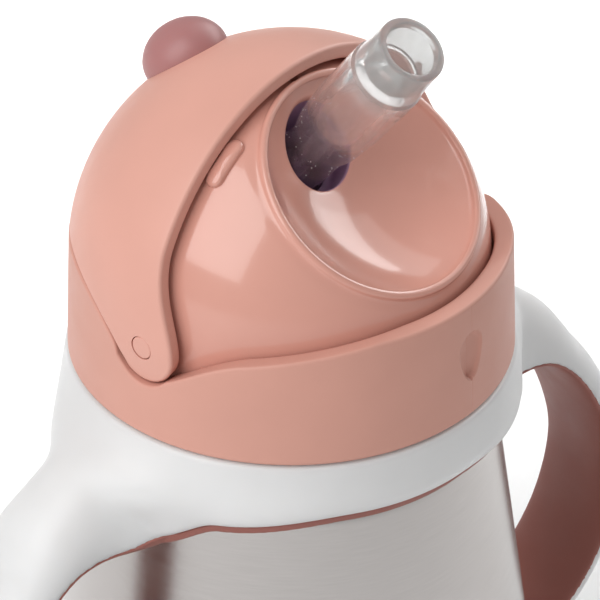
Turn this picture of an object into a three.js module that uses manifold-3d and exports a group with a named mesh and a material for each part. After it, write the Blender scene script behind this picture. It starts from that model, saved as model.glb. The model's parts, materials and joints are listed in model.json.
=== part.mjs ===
// Toddler straw cup: a double-walled steel cup, a slip-on collar with two handles, and a screw
// lid whose hood swings over a folding silicone spout.
// Millimetres, +Z up. The origin is the middle of the underside. The spout leans towards -Y and
// the hood turns about X.
import * as THREE from 'three';
import { mergeVertices } from 'three/addons/utils/BufferGeometryUtils.js';
import Module from 'manifold-3d';

// ---- Driving dimensions ----
const GAP = 0.3; // clearance between touching pieces
const SEGMENTS = 32; // steps round a turned piece
const SMALL = 16; // steps round a pin, hole or other small piece
const SMALL_R = 12; // pieces under this radius count as small

const LID_SEAT = 98; // height of the lid's lower edge above the floor
const PIVOT_RISE = 16.6; // hood pivot above the lid's lower edge
const MOUTH = 110.3; // height of the vessel's rim
const NECK_R = 30.4;
const STEEL = 0.8; // sheet thickness
const BASE_R = 37.2;
const PAD = { radius: 35, thickness: 1.2 };
const SEAL_R = 1.9; // plug of the vacuum port in the base
const GETTER = { radius: 4, height: 1.5, x: 14 };
const THREAD_PITCH = 4;
const CUP_THREAD = { out: 0.35, low: 99.5, size: 0.7 };
const LID_THREAD = { out: 0.5, low: -12, size: 0.6 };

const RING = { bottomR: 38, topR: 37.05, innerR: 33.8, rim: 4.9 };
const DOME_R = 33.5;
const DOME_WALL = 2.2;
const SKIRT_R = 32.3; // inside of the dome's threaded skirt
const SHELF_R = 26.5; // inner edge of the shelf above the lid seal
const SHELF_THICK = 2.2;
const LID_SEAL = { outerR: 31.2, innerR: 27.5, thickness: 1.8 };
const HOOD = { outerR: 37.3, innerR: 34.6, frontY: -1.7, rearRise: 5.3, lobeR: 5.6, swing: 78 };
const PIN = { radius: 2.1, innerX: 31.6, outerX: 37.2 };
const RIB = { turn: 35, half: 2.75, radius: 1.25, y: -2.2, proud: 0.7 }; // detents on the dome
const KNOB = { rise: 51.5, width: 7.2, length: 8, height: 6.4, centreR: 36.9 };

const DISH = { tilt: 50.3, rimDistance: 26.5, rimR: 19.4, depth: 8, wall: 1.8, lipR: 0.75 };
const SPOUT = { y: -5.5, z: 22.9, lean: 52.8, length: 32, mouthR: 5.8, bellyR: 6.5, rootR: 5.9 };
const WELL = { radius: 6.9, wall: 1.6, depth: 7.5 };
const FLANGE = { radius: 9, holeR: 5, spoutThick: 1.6, strawThick: 1.4 }; // clamped under the well
const RETAINER = { outerR: 11, innerR: 7, lip: 1.3 };
const STRAW = { y: 4, outerR: 3.5, innerR: 2.5, bottom: 13, top: -5.5 };
const VENT = { y: 5, stemR: 1.2, capR: 2.4, capLow: 28.6, capHigh: 29.7, top: 32.2 };

const HANDLE_TURN = -13; // the collar's angle to the lid about Z, in degrees
const COLLAR = { top: 97.7, edge: 86.3, edgeTurn: -5, gentleDrop: 3.2, steepDrop: 6.6 };
const STRAP = { width: 20, crown: 6, liner: 1.6, rootHalf: 7.5 };

const PIVOT_Z = LID_SEAT + PIVOT_RISE;
const SHELF = MOUTH + 2 * GAP + LID_SEAL.thickness - PIVOT_Z; // underside, above the pivot
const radians = THREE.MathUtils.degToRad;

// ---- Solids ----
const wasm = await Module();
wasm.setup();

const signedVolume = (points, faces) => {
  const at = (i) => new THREE.Vector3().fromArray(points, 3 * i);
  return faces.reduce((sum, [a, b, c]) => sum + at(a).dot(at(b).cross(at(c))), 0);
};

// A closed three.js geometry, moved by a matrix, as a manifold solid with its faces outward.
function solid(geometry, matrix = new THREE.Matrix4()) {
  const bare = geometry.clone();
  bare.deleteAttribute('normal');
  bare.deleteAttribute('uv');
  bare.applyMatrix4(matrix);
  const merged = mergeVertices(bare, 1e-4);
  const points = Array.from(merged.attributes.position.array);
  const index = Array.from(merged.index.array);
  let faces = [];
  for (let i = 0; i < index.length; i += 3) faces.push(index.slice(i, i + 3));
  faces = faces.filter(([a, b, c]) => a !== b && b !== c && c !== a);
  if (signedVolume(points, faces) < 0) faces = faces.map(([a, b, c]) => [a, c, b]);
  return new wasm.Manifold(new wasm.Mesh({
    numProp: 3,
    vertProperties: Float32Array.from(points),
    triVerts: Uint32Array.from(faces.flat()),
  }));
}

const union = (...solids) => solids.reduce((whole, next) => whole.add(next));

const shift = (x, y, z) => new THREE.Matrix4().makeTranslation(x, y, z);

// A profile of [radius, height] points turned about Z.
function turned(profile, matrix, segments = SEGMENTS) {
  const points = profile.map(([radius, height]) => new THREE.Vector2(radius, height));
  return solid(new THREE.LatheGeometry(points, segments).rotateX(Math.PI / 2), matrix);
}

const turnedRing = (profile, matrix, segments) => turned([...profile, profile[0]], matrix, segments);

const stepsFor = (radius) => (radius < SMALL_R ? SMALL : SEGMENTS);

const disc = (radius, low, high, matrix) =>
  turned([[0, low], [radius, low], [radius, high], [0, high]], matrix, stepsFor(radius));

function tubeRing(outerR, innerR, low, high, matrix) {
  const profile = [[innerR, low], [outerR, low], [outerR, high], [innerR, high]];
  return turnedRing(profile, matrix, stepsFor(outerR));
}

const ball = (radius, matrix, segments = SEGMENTS) =>
  solid(new THREE.SphereGeometry(radius, segments, segments / 2).rotateX(Math.PI / 2), matrix);

const extruded = (shape, depth) =>
  new THREE.ExtrudeGeometry(shape, { depth, bevelEnabled: false, curveSegments: 7 });

// A shape drawn in (y, z), extruded along X between -half and +half.
function sideSlab(shape, half) {
  const axes = [new THREE.Vector3(0, 1, 0), new THREE.Vector3(0, 0, 1), new THREE.Vector3(1, 0, 0)];
  const basis = new THREE.Matrix4().makeBasis(...axes);
  return solid(extruded(shape, 2 * half), shift(-half, 0, 0).multiply(basis));
}

// A shape drawn in (x, z), extruded along Y between the two given values.
function frontSlab(shape, fromY, toY) {
  const axes = [new THREE.Vector3(1, 0, 0), new THREE.Vector3(0, 0, 1), new THREE.Vector3(0, -1, 0)];
  const basis = new THREE.Matrix4().makeBasis(...axes);
  return solid(extruded(shape, toY - fromY), shift(0, toY, 0).multiply(basis));
}

const vectors = (points) => points.map(([x, y]) => new THREE.Vector2(x, y));

// A frame whose Z axis leans from +Z towards -Y, at (y, z), with `rise` degrees above -Y.
function leaning(y, z, rise) {
  return shift(0, y, z).multiply(new THREE.Matrix4().makeRotationX(radians(90 - rise)));
}

function swept(section, curve, steps) {
  return solid(new THREE.ExtrudeGeometry(section, { steps, extrudePath: curve, curveSegments: 5 }));
}

class Helix extends THREE.Curve {
  constructor(radius, low, pitch, turns) {
    super();
    Object.assign(this, { radius, low, pitch, turns });
  }

  getPoint(t, target = new THREE.Vector3()) {
    const angle = 2 * Math.PI * this.turns * t;
    const height = this.low + this.pitch * this.turns * t;
    return target.set(this.radius * Math.cos(angle), this.radius * Math.sin(angle), height);
  }
}

function thread(radius, low, size) {
  const section = new THREE.Shape().absarc(0, 0, size, 0, 2 * Math.PI);
  const extrudePath = new Helix(radius, low, THREAD_PITCH, 1);
  return solid(new THREE.ExtrudeGeometry(section, { steps: SEGMENTS, extrudePath, curveSegments: 2 }));
}

// ---- Materials ----
const plastic = (color, roughness) => new THREE.MeshStandardMaterial({ color, roughness, metalness: 0 });
const metal = (color, roughness) => new THREE.MeshStandardMaterial({ color, roughness, metalness: 1 });
const pinkMatte = () => plastic(0xe6a898, 0.55);
const pinkGloss = () => plastic(0xdf9d8d, 0.18);

function piece(name, shape, material) {
  const { vertProperties, triVerts } = shape.getMesh();
  const geometry = new THREE.BufferGeometry();
  geometry.setAttribute('position', new THREE.BufferAttribute(vertProperties, 3));
  geometry.setIndex(new THREE.BufferAttribute(triVerts, 1));
  geometry.computeVertexNormals();
  const mesh = new THREE.Mesh(geometry, material);
  mesh.name = name;
  return mesh;
}

// ---- Cup: two steel vessels with a vacuum between them ----
// Outside of the body from the base edge up to the top of the neck.
const bodyOutline = [
  ...new THREE.SplineCurve(vectors([
    [39, 1], [42.6, 2.8], [44.6, 8], [44.9, 14], [44, 24], [42.3, 36], [39.3, 57], [36.6, 75.5],
    [35.35, 84],
  ])).getPoints(10).map((point) => [point.x, point.y]),
  [34.6, 86], [32.8, 87.6], [30.9, 88.2], [NECK_R, 89], [NECK_R, MOUTH - 1.1],
];

function outerShell() {
  const inside = bodyOutline.map(([radius, height]) => [radius - STEEL, height]).reverse();
  const base = [[BASE_R + GAP, STEEL + 1], [BASE_R + GAP, 1]];
  return turnedRing([...bodyOutline, ...inside.slice(0, -1), [39, STEEL + 1], ...base])
    .add(thread(NECK_R + CUP_THREAD.out, CUP_THREAD.low, CUP_THREAD.size));
}

function innerLiner() {
  const wall = [
    [36, 9], [39.2, 10.5], [40.5, 14], [39.6, 24], [37.9, 36], [34.9, 57], [32, 76], [29.3, 86],
    [29.2, MOUTH - 0.8], [NECK_R, MOUTH - 0.8], [NECK_R, MOUTH],
  ];
  const hollow = [
    [28.4, MOUTH], [28.5, 86], [31.2, 76], [34.1, 57], [37.1, 36], [38.8, 24], [39.7, 14.2],
    [38.8, 11.3], [35.8, 9 + STEEL],
  ];
  return turned([[0, 9], ...wall, ...hollow, [0, 9 + STEEL]]);
}

function cup() {
  const steel = () => metal(0xb9b4ae, 0.35);
  const baseLow = PAD.thickness + GAP;
  const baseTop = baseLow + STEEL;
  const getterLow = baseTop + GAP;
  const getter = disc(GETTER.radius, getterLow, getterLow + GETTER.height, shift(GETTER.x, 0, 0));
  const group = new THREE.Group();
  group.add(
    piece('outer_shell', outerShell(), steel()),
    piece('inner_liner', innerLiner(), steel()),
    piece('base_disc', tubeRing(BASE_R, SEAL_R + GAP, baseLow, baseTop), steel()),
    piece('vacuum_seal', disc(SEAL_R, baseLow, baseTop + STEEL), metal(0x8c8a86, 0.5)),
    piece('getter_pill', getter, metal(0x6f6d6a, 0.7)),
    piece('foot_pad', disc(PAD.radius, 0, PAD.thickness), plastic(0xd9998c, 0.8)),
  );
  return group;
}

// ---- Collar with two handles: white frame and pink soft liner ----
// The space of the body and neck, with clearance, that the collar keeps free.
const insideCollar = turned([
  [0, 60], [39.2, 60], [37, 75.6], [35.75, 84.3], [35, 86.4], [33.2, 88], [31.75, 88.7],
  [31.7, 99], [0, 99],
]);

// How far the collar's lower edge drops at a distance from its middle plane: gently at first,
// then steeply into the handles' undersides.
const edgeDrop = (aside) =>
  COLLAR.gentleDrop * THREE.MathUtils.smoothstep(aside, 10, 34) +
  COLLAR.steepDrop * THREE.MathUtils.smoothstep(aside, 28, 33.5);

const handleTop = COLLAR.edge - COLLAR.gentleDrop - COLLAR.steepDrop - GAP;

// A turned piece drawn for the collar's front, with its low points moved down along that edge
// and out along the body's flare.
function dipped(profile) {
  const points = [...profile, profile[0]].map(([radius, height]) => new THREE.Vector2(radius, height));
  const geometry = new THREE.LatheGeometry(points, 56).rotateX(Math.PI / 2);
  const place = geometry.attributes.position;
  const bodyR = 36.3;
  for (let i = 0; i < place.count; i++) {
    const [x, y, z] = [place.getX(i), place.getY(i), place.getZ(i)];
    const share = 1 - THREE.MathUtils.smoothstep(z, COLLAR.edge, COLLAR.top - 2);
    const bearing = Math.atan2(x, -y) - radians(COLLAR.edgeTurn);
    const drop = share * edgeDrop(bodyR * Math.abs(Math.sin(bearing)));
    const flare = 1 + (0.15 * drop) / Math.hypot(x, y);
    place.setXYZ(i, x * flare, y * flare, z - drop);
  }
  return solid(geometry);
}

// The finger side of a handle, from the collar out, down and back towards the body.
const handlePath = new THREE.CatmullRomCurve3([
  [36.8, handleTop], [46, handleTop], [53, 73.5], [60, 65.3], [66, 52.5], [68.2, 41], [65.3, 28],
  [58.6, 17.8], [50.8, 13.4],
].map(([x, z]) => new THREE.Vector3(x, 0, z)));

const mirrored = (shape) => shape.mirror([1, 0, 0]);

function handleShell() {
  const half = STRAP.width / 2;
  const section = new THREE.Shape().moveTo(-half, -GAP)
    .absellipse(0, -GAP, half, STRAP.crown - GAP, Math.PI, 2 * Math.PI, false);
  const root = new THREE.Shape(vectors([
    [34, 76.6], [47, 76.6], [52.5, 76], [57, 79.6], [52.3, 85.2], [47, 89.8], [42.3, 94.3], [38.2, 97.4],
    [34, 97.4],
  ]));
  return union(swept(section, handlePath, 20), frontSlab(root, -STRAP.rootHalf, STRAP.rootHalf));
}

function handleFrame() {
  const ring = dipped([
    [30, COLLAR.edge], [36.2, COLLAR.edge], [38.3, 87.4], [39.3, 89.6], [39.3, 91.5], [38.8, 94.5],
    [38.4, 97.3], [38, COLLAR.top], [30, COLLAR.top],
  ]);
  const shell = handleShell();
  return union(ring, shell, mirrored(shell)).subtract(insideCollar);
}

function gripLiner() {
  const half = STRAP.width / 2 - GAP;
  const section = new THREE.Shape().moveTo(half, 0).absellipse(0, 0, half, STRAP.liner, 0, Math.PI, false);
  const band = swept(section, handlePath, 20);
  const top = COLLAR.edge - GAP - 0.15;
  const edge = dipped([[34, top - 0.9], [36.6, top - 0.9], [36.8, top], [34, top]]);
  return union(edge, band, mirrored(band)).subtract(insideCollar);
}

function handles() {
  const group = new THREE.Group();
  group.rotation.z = radians(HANDLE_TURN);
  group.add(
    piece('handle_frame', handleFrame(), plastic(0xf1efee, 0.35)),
    piece('grip_liner', gripLiner(), plastic(0xd79486, 0.6)),
  );
  return group;
}

// ---- Lid, drawn about the hood's pivot centre ----
// Side view (y, z) of the space the hood covers at rest, grown by a clearance.
function hoodOutline(grow) {
  const { frontY, rearRise, lobeR } = HOOD;
  const lobe = lobeR + grow;
  const rearAngle = radians(-54);
  const rearZ = rearRise - grow;
  return new THREE.Shape()
    .moveTo(45, rearZ)
    .lineTo(25, rearZ)
    .bezierCurveTo(13, rearZ, 6.5, -1 - grow, lobe * Math.cos(rearAngle), lobe * Math.sin(rearAngle))
    .absarc(0, 0, lobe, rearAngle, -Math.PI, true)
    .bezierCurveTo(-6.3 - grow, 5, -3.4 - grow, 10.5, frontY - grow, 15)
    .lineTo(frontY - grow, 45)
    .lineTo(45, 45)
    .closePath();
}

const swung = (shape, angle) => shape.rotate([angle, 0, 0]);

const alongX = new THREE.Matrix4().makeRotationY(Math.PI / 2);

// A drop with its point down, on the front of the lid ring.
function frontDimple() {
  const drop = new THREE.Shape()
    .moveTo(0, -8.4)
    .bezierCurveTo(-1.2, -6.6, -3.1, -5.2, -3.1, -2.6)
    .absarc(0, -2.6, 3.1, Math.PI, 0, true)
    .bezierCurveTo(3.1, -5.2, 1.2, -6.6, 0, -8.4);
  return frontSlab(drop, -40, -36.9);
}

function lidRing() {
  const { bottomR, topR, innerR, rim } = RING;
  const ring = turnedRing([
    [innerR, -PIVOT_RISE], [bottomR - 0.4, -PIVOT_RISE], [bottomR, 0.4 - PIVOT_RISE],
    [topR, rim - 0.6], [topR - 0.6, rim], [innerR, rim],
  ]);
  const seat = sideSlab(hoodOutline(GAP + 0.1), 45);
  return ring.subtract(seat).subtract(swung(seat, HOOD.swing)).subtract(frontDimple());
}

const arcProfile = (radius, fromHeight, steps) => {
  const start = Math.asin(fromHeight / radius);
  return Array.from({ length: steps + 1 }, (_, i) => {
    const angle = start + ((Math.PI / 2 - start) * i) / steps;
    return [i === steps ? 0 : radius * Math.cos(angle), radius * Math.sin(angle)];
  });
};

// A raised bar on the dome beside the hood's front edge, which the open hood clicks behind.
function detentRib(angle) {
  const bar = new THREE.Shape()
    .absarc(RIB.half, 0, RIB.radius, -Math.PI / 2, Math.PI / 2)
    .absarc(-RIB.half, 0, RIB.radius, Math.PI / 2, 1.5 * Math.PI);
  const outward = new THREE.Matrix4().makeRotationY(radians(angle)).multiply(shift(0, RIB.y, DOME_R - 1));
  return solid(extruded(bar, 2), outward).intersect(ball(DOME_R + RIB.proud));
}

const spoutFrame = leaning(SPOUT.y, SPOUT.z, SPOUT.lean);
const wellFloor = -WELL.depth - WELL.wall; // underside, along the spout's axis
const pinHole = disc(PIN.radius + GAP, -45, 45, alongX);

function domeHollow() {
  const skirtEnd = -PIVOT_RISE - 1;
  const shelfTop = SHELF + SHELF_THICK;
  return turned([
    [0, skirtEnd], [SKIRT_R, skirtEnd], [SKIRT_R, SHELF], [SHELF_R, SHELF], [SHELF_R, shelfTop],
    ...arcProfile(DOME_R - DOME_WALL, shelfTop, 9),
  ]);
}

function lidDome() {
  const skirtEnd = GAP - PIVOT_RISE;
  const outside = turned([[0, skirtEnd], [DOME_R, skirtEnd], ...arcProfile(DOME_R, 0, 10)]);
  const bowlR = (DISH.rimR ** 2 + DISH.depth ** 2) / (2 * DISH.depth);
  const dishFrame = leaning(0, 0, DISH.tilt);
  const bowlAt = dishFrame.clone().multiply(shift(0, 0, DISH.rimDistance - DISH.depth + bowlR));
  const lipAt = dishFrame.clone().multiply(shift(0, 0, DISH.rimDistance + 0.2));
  const lip = solid(new THREE.TorusGeometry(DISH.rimR + 0.55, DISH.lipR, 8, SEGMENTS), lipAt);
  const wellWall = disc(WELL.radius + WELL.wall, wellFloor, 14, spoutFrame);
  const lining = union(ball(bowlR + DISH.wall, bowlAt), wellWall).intersect(outside);
  const ribs = union(detentRib(-RIB.turn), detentRib(RIB.turn));
  const screw = thread(SKIRT_R + LID_THREAD.out, LID_THREAD.low, LID_THREAD.size);
  return union(outside.subtract(domeHollow()), lining, lip, ribs, screw)
    .subtract(ball(bowlR, bowlAt))
    .subtract(disc(WELL.radius, -WELL.depth, 40, spoutFrame))
    .subtract(disc(FLANGE.holeR + GAP, wellFloor - 1, 0, spoutFrame))
    .subtract(pinHole)
    .subtract(disc(VENT.stemR + GAP, 20, 45, shift(0, VENT.y, 0)));
}

function hoodShell() {
  const shell = ball(HOOD.outerR).subtract(ball(HOOD.innerR));
  return shell.intersect(sideSlab(hoodOutline(0), 45)).subtract(pinHole);
}

function hoodKnob() {
  const size = new THREE.Matrix4().makeScale(KNOB.width, KNOB.length, KNOB.height);
  const stand = leaning(0, 0, 180 - KNOB.rise).multiply(shift(0, 0, KNOB.centreR)).multiply(size);
  return ball(1, stand, 20).subtract(ball(HOOD.outerR + GAP));
}

// Heights along the spout's axis of the flanges clamped under the well.
const spoutFlange = { top: wellFloor - GAP, low: wellFloor - GAP - FLANGE.spoutThick };
const strawFlange = { top: spoutFlange.low - GAP, low: spoutFlange.low - GAP - FLANGE.strawThick };

// One silicone tube: flange under the well, neck through its floor, spout above.
function spout() {
  const { length, mouthR, bellyR, rootR } = SPOUT;
  const outside = [
    [FLANGE.radius, spoutFlange.low], [FLANGE.radius, spoutFlange.top], [FLANGE.holeR, spoutFlange.top],
    [FLANGE.holeR, GAP - WELL.depth], [rootR, 0.6 - WELL.depth], [rootR, 2], [bellyR, 12],
    [bellyR, length - 8.2], [mouthR + 0.4, length - 7.4], [mouthR, length - 2], [mouthR, length - 0.5],
    [mouthR - 0.5, length],
  ];
  const bore = [
    [mouthR - 1, length], [4.2, length - 1], [4, length - 7.5], [0.9, length - 8], [0.9, length - 9.2],
    [3.2, length - 10], [3, spoutFlange.low],
  ];
  return turnedRing([...outside, ...bore], spoutFrame, 20);
}

function spoutRetainer() {
  const { outerR, innerR, lip } = RETAINER;
  const pocketR = FLANGE.radius + GAP;
  const ledge = strawFlange.low - GAP;
  return turnedRing([
    [pocketR, spoutFlange.top], [outerR, spoutFlange.top], [outerR, ledge - lip], [innerR, ledge - lip],
    [innerR, ledge], [pocketR, ledge],
  ], spoutFrame, 20);
}

// A flange under the spout, then a tube that turns straight down to hold the straw.
function strawAdapter() {
  const along = (distance) => new THREE.Vector3(0, 0, distance).applyMatrix4(spoutFrame);
  const route = new THREE.CatmullRomCurve3([
    along(strawFlange.top - 0.7), along(strawFlange.top - 6), new THREE.Vector3(0, STRAW.y, 3),
    new THREE.Vector3(0, STRAW.y, STRAW.top - 0.5),
  ]);
  const tubeOf = (radius) => swept(new THREE.Shape().absarc(0, 0, radius, 0, 2 * Math.PI), route, 8);
  const flange = disc(FLANGE.radius, strawFlange.low, strawFlange.top, spoutFrame);
  return union(tubeOf(STRAW.outerR), flange)
    .subtract(tubeOf(STRAW.innerR))
    .subtract(disc(STRAW.innerR, strawFlange.low - 1.6, strawFlange.top + 1, spoutFrame))
    .subtract(disc(STRAW.outerR + 1, STRAW.top - 2.5, STRAW.top, shift(0, STRAW.y, 0)));
}

function ventValve() {
  const place = shift(0, VENT.y, 0);
  const cap = disc(VENT.capR, VENT.capLow, VENT.capHigh, place);
  return union(disc(VENT.stemR, VENT.capHigh - 0.2, VENT.top, place), cap);
}

function lid() {
  const silicone = () => plastic(0xe9e6e4, 0.3);
  const { outerR, innerR, thickness } = LID_SEAL;
  const seal = tubeRing(outerR, innerR, SHELF - GAP - thickness, SHELF - GAP);
  const strawPlace = shift(0, STRAW.y, 0);
  const straw = tubeRing(STRAW.outerR, STRAW.innerR, STRAW.bottom - PIVOT_Z, STRAW.top - GAP, strawPlace);
  const group = new THREE.Group();
  group.position.z = PIVOT_Z;
  group.add(
    piece('lid_ring', lidRing(), pinkMatte()),
    piece('lid_dome', lidDome(), pinkGloss()),
    piece('pivot_pin_left', disc(PIN.radius, -PIN.outerX, -PIN.innerX, alongX), pinkMatte()),
    piece('pivot_pin_right', disc(PIN.radius, PIN.innerX, PIN.outerX, alongX), pinkMatte()),
    piece('hood', hoodShell(), pinkMatte()),
    piece('hood_knob', hoodKnob(), plastic(0xc58c88, 0.4)),
    piece('spout', spout(), silicone()),
    piece('spout_retainer', spoutRetainer(), pinkMatte()),
    piece('straw_adapter', strawAdapter(), silicone()),
    piece('straw_tube', straw, silicone()),
    piece('lid_seal', seal, plastic(0xf0ece9, 0.6)),
    piece('vent_valve', ventValve(), silicone()),
  );
  return group;
}

const strawCup = new THREE.Group();
strawCup.name = 'straw_cup';
strawCup.add(cup(), handles(), lid());

export default strawCup;
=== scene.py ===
# The looks of a toddler straw cup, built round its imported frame. Metres, +Z up. The spout leans
# towards -Y and the hood turns about X. Shapes are listed in millimetres and turned into metres
# by mm().
import json
import math

import bmesh
import bpy
import numpy as np
from mathutils import Matrix, Vector


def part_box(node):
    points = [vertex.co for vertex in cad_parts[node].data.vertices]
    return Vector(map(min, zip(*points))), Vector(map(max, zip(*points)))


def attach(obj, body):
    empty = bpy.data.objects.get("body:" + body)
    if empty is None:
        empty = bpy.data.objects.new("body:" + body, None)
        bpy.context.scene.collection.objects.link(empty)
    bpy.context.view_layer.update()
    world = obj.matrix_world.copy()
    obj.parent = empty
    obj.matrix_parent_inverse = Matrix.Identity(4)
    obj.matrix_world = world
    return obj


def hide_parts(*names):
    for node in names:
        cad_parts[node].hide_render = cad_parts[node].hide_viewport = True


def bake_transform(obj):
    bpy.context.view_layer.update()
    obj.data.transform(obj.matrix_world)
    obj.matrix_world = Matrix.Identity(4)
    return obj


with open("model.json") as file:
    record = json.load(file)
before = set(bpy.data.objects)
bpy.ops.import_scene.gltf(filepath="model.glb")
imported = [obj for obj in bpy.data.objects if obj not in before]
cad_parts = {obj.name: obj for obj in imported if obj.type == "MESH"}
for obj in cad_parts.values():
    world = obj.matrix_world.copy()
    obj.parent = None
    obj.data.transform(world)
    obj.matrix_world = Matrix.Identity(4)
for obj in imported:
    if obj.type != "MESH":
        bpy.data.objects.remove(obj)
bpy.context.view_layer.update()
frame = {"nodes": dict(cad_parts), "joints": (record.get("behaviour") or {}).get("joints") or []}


def mm(values):
    return np.array(values, float) * 0.001


# ---- Sizes from the frame ----
PIVOT = Vector(next(j for j in frame["joints"] if j["name"] == "hood_swing")["pos_m"])
RING_LOW, RING_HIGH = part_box("lid_ring")
DOME_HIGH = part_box("lid_dome")[1]
RING_R = RING_HIGH.x
SEAT_Z = RING_LOW.z
DOME_R = DOME_HIGH.x
NECK_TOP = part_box("outer_shell")[1].z
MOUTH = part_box("inner_liner")[1].z
COLLAR_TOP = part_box("handle_frame")[1].z
PAD_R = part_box("foot_pad")[1].x
PAD_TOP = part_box("foot_pad")[1].z
BASE_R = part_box("base_disc")[1].x
BASE_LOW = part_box("base_disc")[0].z
BASE_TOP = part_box("base_disc")[1].z
PIN_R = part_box("pivot_pin_right")[1].y
PIN_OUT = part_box("pivot_pin_right")[1].x
PIN_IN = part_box("pivot_pin_right")[0].x
STRAW_LOW, STRAW_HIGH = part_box("straw_tube")
SEAL_LOW, SEAL_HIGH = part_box("lid_seal")

# ---- Sizes of the visible surfaces ----
STEPS = 192
GAP = 0.0003
STEEL = 0.0008
HOOD_R = 0.0373
HOOD_IN_R = 0.0346
LOBE_R = 0.0061
LOBE_DROP = 0.0006
EDGE_GAP = 0.00025
HOOD_REAR = 0.0053
HOOD_FRONT = -0.0017
HOOD_CROWN = math.radians(42)
HOOD_SWING = math.radians(78)
RIM = 0.0049
DIMPLE_TURN = math.radians(2)
DIMPLE_DROP = 0.0012
DIMPLE_MIDDLE = -0.0026
DIMPLE_HALF = 0.0031
DIMPLE_TAIL = 0.0058
RIB_R = 0.0016
DISH_TILT = math.radians(50.3)
DISH_R = 0.0194
DISH_DEPTH = 0.008
DISH_RIM = 0.0265
WELL_R = 0.0069
WELL_DEPTH = 0.0075
WELL_BORE = 0.0053
DOME_WALL = 0.0022
DISH_WALL = 0.0016
SKIRT_IN_R = 0.0323
LIP_R = 0.00075
FOOT_R = 0.0223
FOOT_Z = math.sqrt(DOME_R**2 - FOOT_R**2)
SPOUT_ROOT = Vector(mm([0, -5.5, 22.9]))
SPOUT_LEAN = math.radians(52.8)
SPOUT_LENGTH = 0.032
SPOUT_BELOW = 0.0096
HANDLE_TURN = math.radians(-13)
EDGE = 0.0863
EDGE_R = 0.0363
EDGE_TURN = math.radians(-5)
GENTLE_DROP = 0.0032
STEEP_DROP = 0.0066
STRAP_LINER = 0.0016
STRAP_TIP = 0.008
OVERLAP = 0.0004


# ---- Curves and profiles ----
def spline(points, per_span=8):
    """Points along a smooth curve through the given ones."""
    points = np.asarray(points, float)
    padded = np.vstack((2 * points[0] - points[1], points, 2 * points[-1] - points[-2]))
    rows = []
    for a, b, c, d in zip(padded, padded[1:], padded[2:], padded[3:]):
        for t in np.arange(per_span) / per_span:
            rows.append(
                0.5 * (2 * b + (c - a) * t + (2 * a - 5 * b + 4 * c - d) * t**2
                       + (3 * b - a - 3 * c + d) * t**3)
            )
    return np.vstack((rows, points[-1:]))


def bezier(a, b, c, d, steps=16):
    t = np.linspace(0, 1, steps + 1)[:, None]
    a, b, c, d = (np.asarray(p, float) for p in (a, b, c, d))
    return a * (1 - t)**3 + 3 * b * t * (1 - t)**2 + 3 * c * t**2 * (1 - t) + d * t**3


def rounded(corners, steps=5):
    """A closed profile from rows of x, y and corner radius."""
    corners = np.asarray(corners, float)
    rows = []
    for i, (x, y, radius) in enumerate(corners):
        here = np.array([x, y])
        before = corners[i - 1, :2] - here
        after = corners[(i + 1) % len(corners), :2] - here
        lengths = np.linalg.norm(before), np.linalg.norm(after)
        cosine = np.clip(before @ after / (lengths[0] * lengths[1]), -1, 1)
        half = math.acos(cosine) / 2
        reach = min(radius / max(math.tan(half), 1e-3), 0.48 * min(lengths))
        if reach < 1e-7:
            rows.append(here)
            continue
        start = here + before / lengths[0] * reach
        end = here + after / lengths[1] * reach
        for t in np.linspace(0, 1, steps + 1):
            rows.append(start * (1 - t)**2 + 2 * here * t * (1 - t) + end * t**2)
    return np.array(rows)


def smoothstep(value, low, high):
    t = np.clip((value - low) / (high - low), 0, 1)
    return t * t * (3 - 2 * t)


def leaning(origin, rise):
    """A frame whose Z axis leans from +Z towards -Y, with that rise above -Y."""
    return Matrix.Translation(origin) @ Matrix.Rotation(math.pi / 2 - rise, 4, "X")


DISH_FRAME = leaning(PIVOT, DISH_TILT)
SPOUT_FRAME = leaning(PIVOT + SPOUT_ROOT, SPOUT_LEAN)
ALONG_X = Matrix.Translation(PIVOT) @ Matrix.Rotation(math.pi / 2, 4, "Y")
BOWL_R = (DISH_R**2 + DISH_DEPTH**2) / (2 * DISH_DEPTH)
BOWL = np.array(DISH_FRAME @ Vector((0, 0, DISH_RIM - DISH_DEPTH + BOWL_R)))


# ---- Skins ----
def placed(points, place):
    matrix = np.array(place)
    return np.asarray(points) @ matrix[:3, :3].T + matrix[:3, 3]


def loft(loops, joined=False):
    """A skin through equal closed loops of points. If joined, the last one meets the first."""
    count = len(loops[0])
    rows = len(loops) if joined else len(loops) - 1
    faces = []
    for row in range(rows):
        a = row * count
        b = (row + 1) % len(loops) * count
        for i in range(count):
            j = (i + 1) % count
            faces.append((a + i, a + j, b + j, b + i))
    return np.concatenate(loops), faces


def turned(profile, place=Matrix.Identity(4), steps=STEPS):
    """A closed profile of radius and height turned about Z, then placed."""
    angle = np.linspace(0, 2 * math.pi, steps, endpoint=False)
    loops = [
        placed(np.column_stack((r * np.cos(angle), r * np.sin(angle), np.full(steps, z))), place)
        for r, z in profile
    ]
    return loft(loops, joined=True)


def tube_ring(outer, inner, low, high, edge, place=Matrix.Identity(4)):
    corners = [[inner, low, edge], [outer, low, edge], [outer, high, edge], [inner, high, edge]]
    return turned(rounded(corners), place)


def disc(radius, low, high, edge, place=Matrix.Identity(4)):
    return turned(rounded([[0, low, 0], [radius, low, edge], [radius, high, edge], [0, high, 0]]), place)


def with_caps(loops):
    """Loops with their first and last shrunk to a point, so that the skin is closed."""
    ends = [np.repeat(loops[i].mean(0)[None], len(loops[i]), 0) for i in (0, -1)]
    return [ends[0], *loops, ends[1]]


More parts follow.
